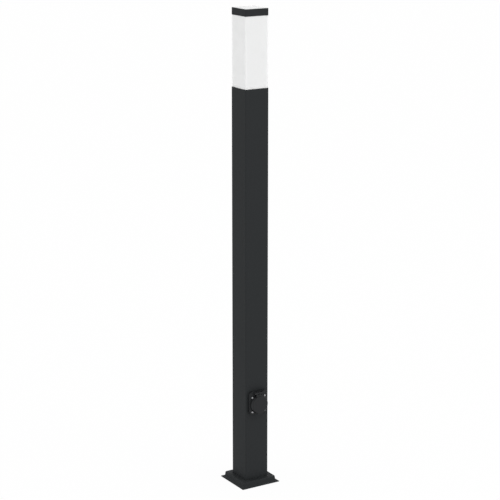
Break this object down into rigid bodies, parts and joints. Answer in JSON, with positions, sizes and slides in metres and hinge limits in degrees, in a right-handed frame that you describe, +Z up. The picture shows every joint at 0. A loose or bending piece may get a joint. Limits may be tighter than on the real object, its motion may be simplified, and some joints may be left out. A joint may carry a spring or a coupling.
{
  "type": "bollard light with socket",
  "caption": "Square bollard light: post with raised foot cover, opal light head under a shallow cap, and a lidded plug socket low on one face.",
  "frame": {"origin": "centre of the base's underside, on the ground", "axes": "+Z up along the post, socket on the -Y face, +X to the right for someone facing the socket"},
  "size_m": [0.1, 0.1, 1.1],
  "materials": {
    "powder_coat": "satin anthracite powder coat with a very fine texture",
    "black_plastic": "moulded plastic in the post's colour, fine spark texture",
    "opal": "smooth opal white, light passes through it",
    "zinc_steel": "zinc plated, dull",
    "bright_steel": "bright plated steel",
    "contact_brass": "plain brass",
    "bulb_metal": "rolled bright metal",
    "ceramic": null,
    "holder_plastic": "black moulded plastic",
    "white_plastic": "white moulded plastic",
    "black_rubber": "black rubber",
    "wire_sheath": "grey wire sheath"
  },
  "bodies": {
    "post": {"post_tube": "powder_coat", "mounting_plate": "zinc_steel", "cable_bushing": "black_rubber", "lamp_bracket": "zinc_steel", "holder_stem": "zinc_steel", "stem_nuts": "zinc_steel", "holder_cap": "holder_plastic", "contact_base": "ceramic", "centre_contact": "contact_brass", "holder_sleeve": "holder_plastic", "screw_shell": "contact_brass", "bulb_cap": "bulb_metal", "bulb_body": "white_plastic", "light_board": "white_plastic", "bulb_globe": "opal", "socket_gasket": "black_rubber", "socket_housing": "black_plastic", "socket_screws": "bright_steel", "hinge_pin": "bright_steel", "lid_springs": "bright_steel", "contact_carrier": "white_plastic", "contact_sleeves": "contact_brass", "earth_strap": "contact_brass", "contact_clamps": "bright_steel", "carrier_screws": "bright_steel", "rear_cover": "white_plastic", "terminal_tray": "zinc_steel", "terminal_block": "white_plastic", "terminal_inserts": "contact_brass", "terminal_screws": "bright_steel", "block_screws": "bright_steel", "earth_stud": "bright_steel", "earth_washer": "bright_steel", "earth_nut": "bright_steel", "earth_lead": "wire_sheath", "socket_leads": "wire_sheath", "lamp_cores": "wire_sheath", "lamp_lead": "wire_sheath"},
    "lid": {"lid": "black_plastic", "lid_seal": "black_rubber"},
    "lamp_head": {"diffuser": "opal", "neck_seal": "black_rubber", "top_cap": "powder_coat", "cap_seal": "black_rubber"},
    "foot_cover": {"base_cover": "powder_coat"}
  },
  "joints": [
    {"name": "lid_hinge", "type": "hinge", "parent": "post", "child": "lid", "pos_m": [0, -0.042, 0.2248], "axis": [-1, 0, 0], "range_deg": [0, 110], "stiffness_Nm_per_rad": 0.01, "springref_deg": -57.3},
    {"name": "head_lift", "type": "slide", "parent": "post", "child": "lamp_head", "axis": [0, 0, 1], "range_m": [0, 0.16]},
    {"name": "cover_lift", "type": "slide", "parent": "post", "child": "foot_cover", "axis": [0, 0, 1], "range_m": [0, 0.15]}
  ]
}
